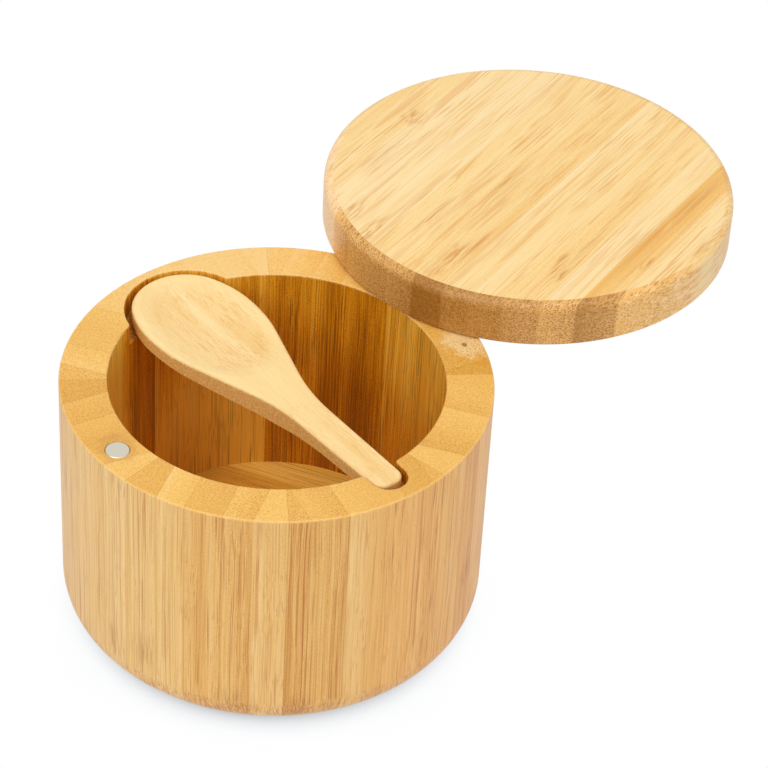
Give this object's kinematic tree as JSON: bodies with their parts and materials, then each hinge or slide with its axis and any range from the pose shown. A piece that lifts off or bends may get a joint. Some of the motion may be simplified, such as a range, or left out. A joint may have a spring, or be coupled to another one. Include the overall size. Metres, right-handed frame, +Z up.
{
  "type": "salt box",
  "caption": "Round bamboo salt box with a thick disc lid that swivels on a vertical pin, a magnet catch, and a small wooden spoon lying across the rim in two pockets.",
  "frame": {"origin": "centre of the box's foot, on the plane that it stands on", "axes": "+Z up the box's axis; +Y from the box's middle to the lid's pivot pin; +X from the spoon's bowl to the end of its handle"},
  "size_m": [0.1024, 0.168, 0.0698],
  "materials": {
    "bamboo_wall": "oiled satin bamboo, end grain on the rim",
    "bamboo_floor": "oiled satin bamboo",
    "bamboo_lid": "oiled satin bamboo, long grain on the top",
    "magnet": "nickel plate, satin",
    "pin_steel": "plain turned steel",
    "spoon_wood": "bare sanded pale wood"
  },
  "bodies": {
    "box": {"stave_1": "bamboo_wall", "stave_2": "bamboo_wall", "stave_3": "bamboo_wall", "stave_4": "bamboo_wall", "stave_5": "bamboo_wall", "stave_6": "bamboo_wall", "stave_7": "bamboo_wall", "stave_8": "bamboo_wall", "base_disc": "bamboo_floor", "rim_magnet": "magnet"},
    "lid": {"lid_board": "bamboo_lid", "lid_magnet": "magnet", "pivot_pin": "pin_steel"},
    "spoon": {"spoon": "spoon_wood"}
  },
  "joints": [
    {"name": "lid_swivel", "type": "hinge", "parent": "box", "child": "lid", "pos_m": [0, 0.04, 0.059], "axis": [0, 0, 1], "continuous": true},
    {"name": "spoon_lift", "type": "slide", "parent": "box", "child": "spoon", "axis": [0, 0, 1], "range_m": [0, 0.03]}
  ]
}
